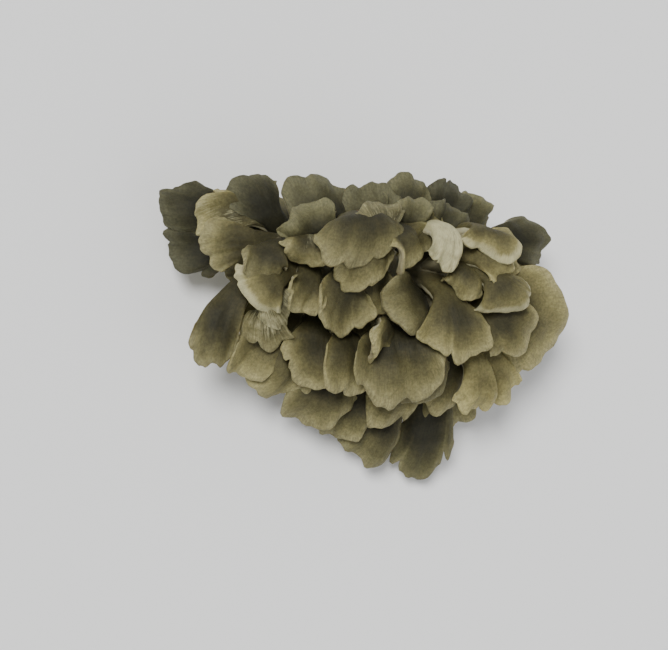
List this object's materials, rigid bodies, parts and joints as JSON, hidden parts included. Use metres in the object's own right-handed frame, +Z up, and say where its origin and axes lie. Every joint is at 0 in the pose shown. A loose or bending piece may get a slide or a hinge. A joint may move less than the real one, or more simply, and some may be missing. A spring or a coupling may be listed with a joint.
{
  "type": "maitake mushroom",
  "caption": "Whole maitake cluster: a pale branching base, cut flat, that carries thin, waved, fan-shaped caps in overlapping tiers.",
  "frame": {"origin": "middle of the flat cut through the base, on the surface that the cluster stands on", "axes": "+Z up from the cut, +X along the longest side, -Y the side towards which most caps arch over"},
  "size_m": [0.1389, 0.1015, 0.0582],
  "materials": {
    "mushroom_flesh": "matt, slightly velvety brown cap skin over cream flesh"
  },
  "bodies": {
    "root": {"maitake_cluster": "mushroom_flesh"}
  },
  "joints": []
}
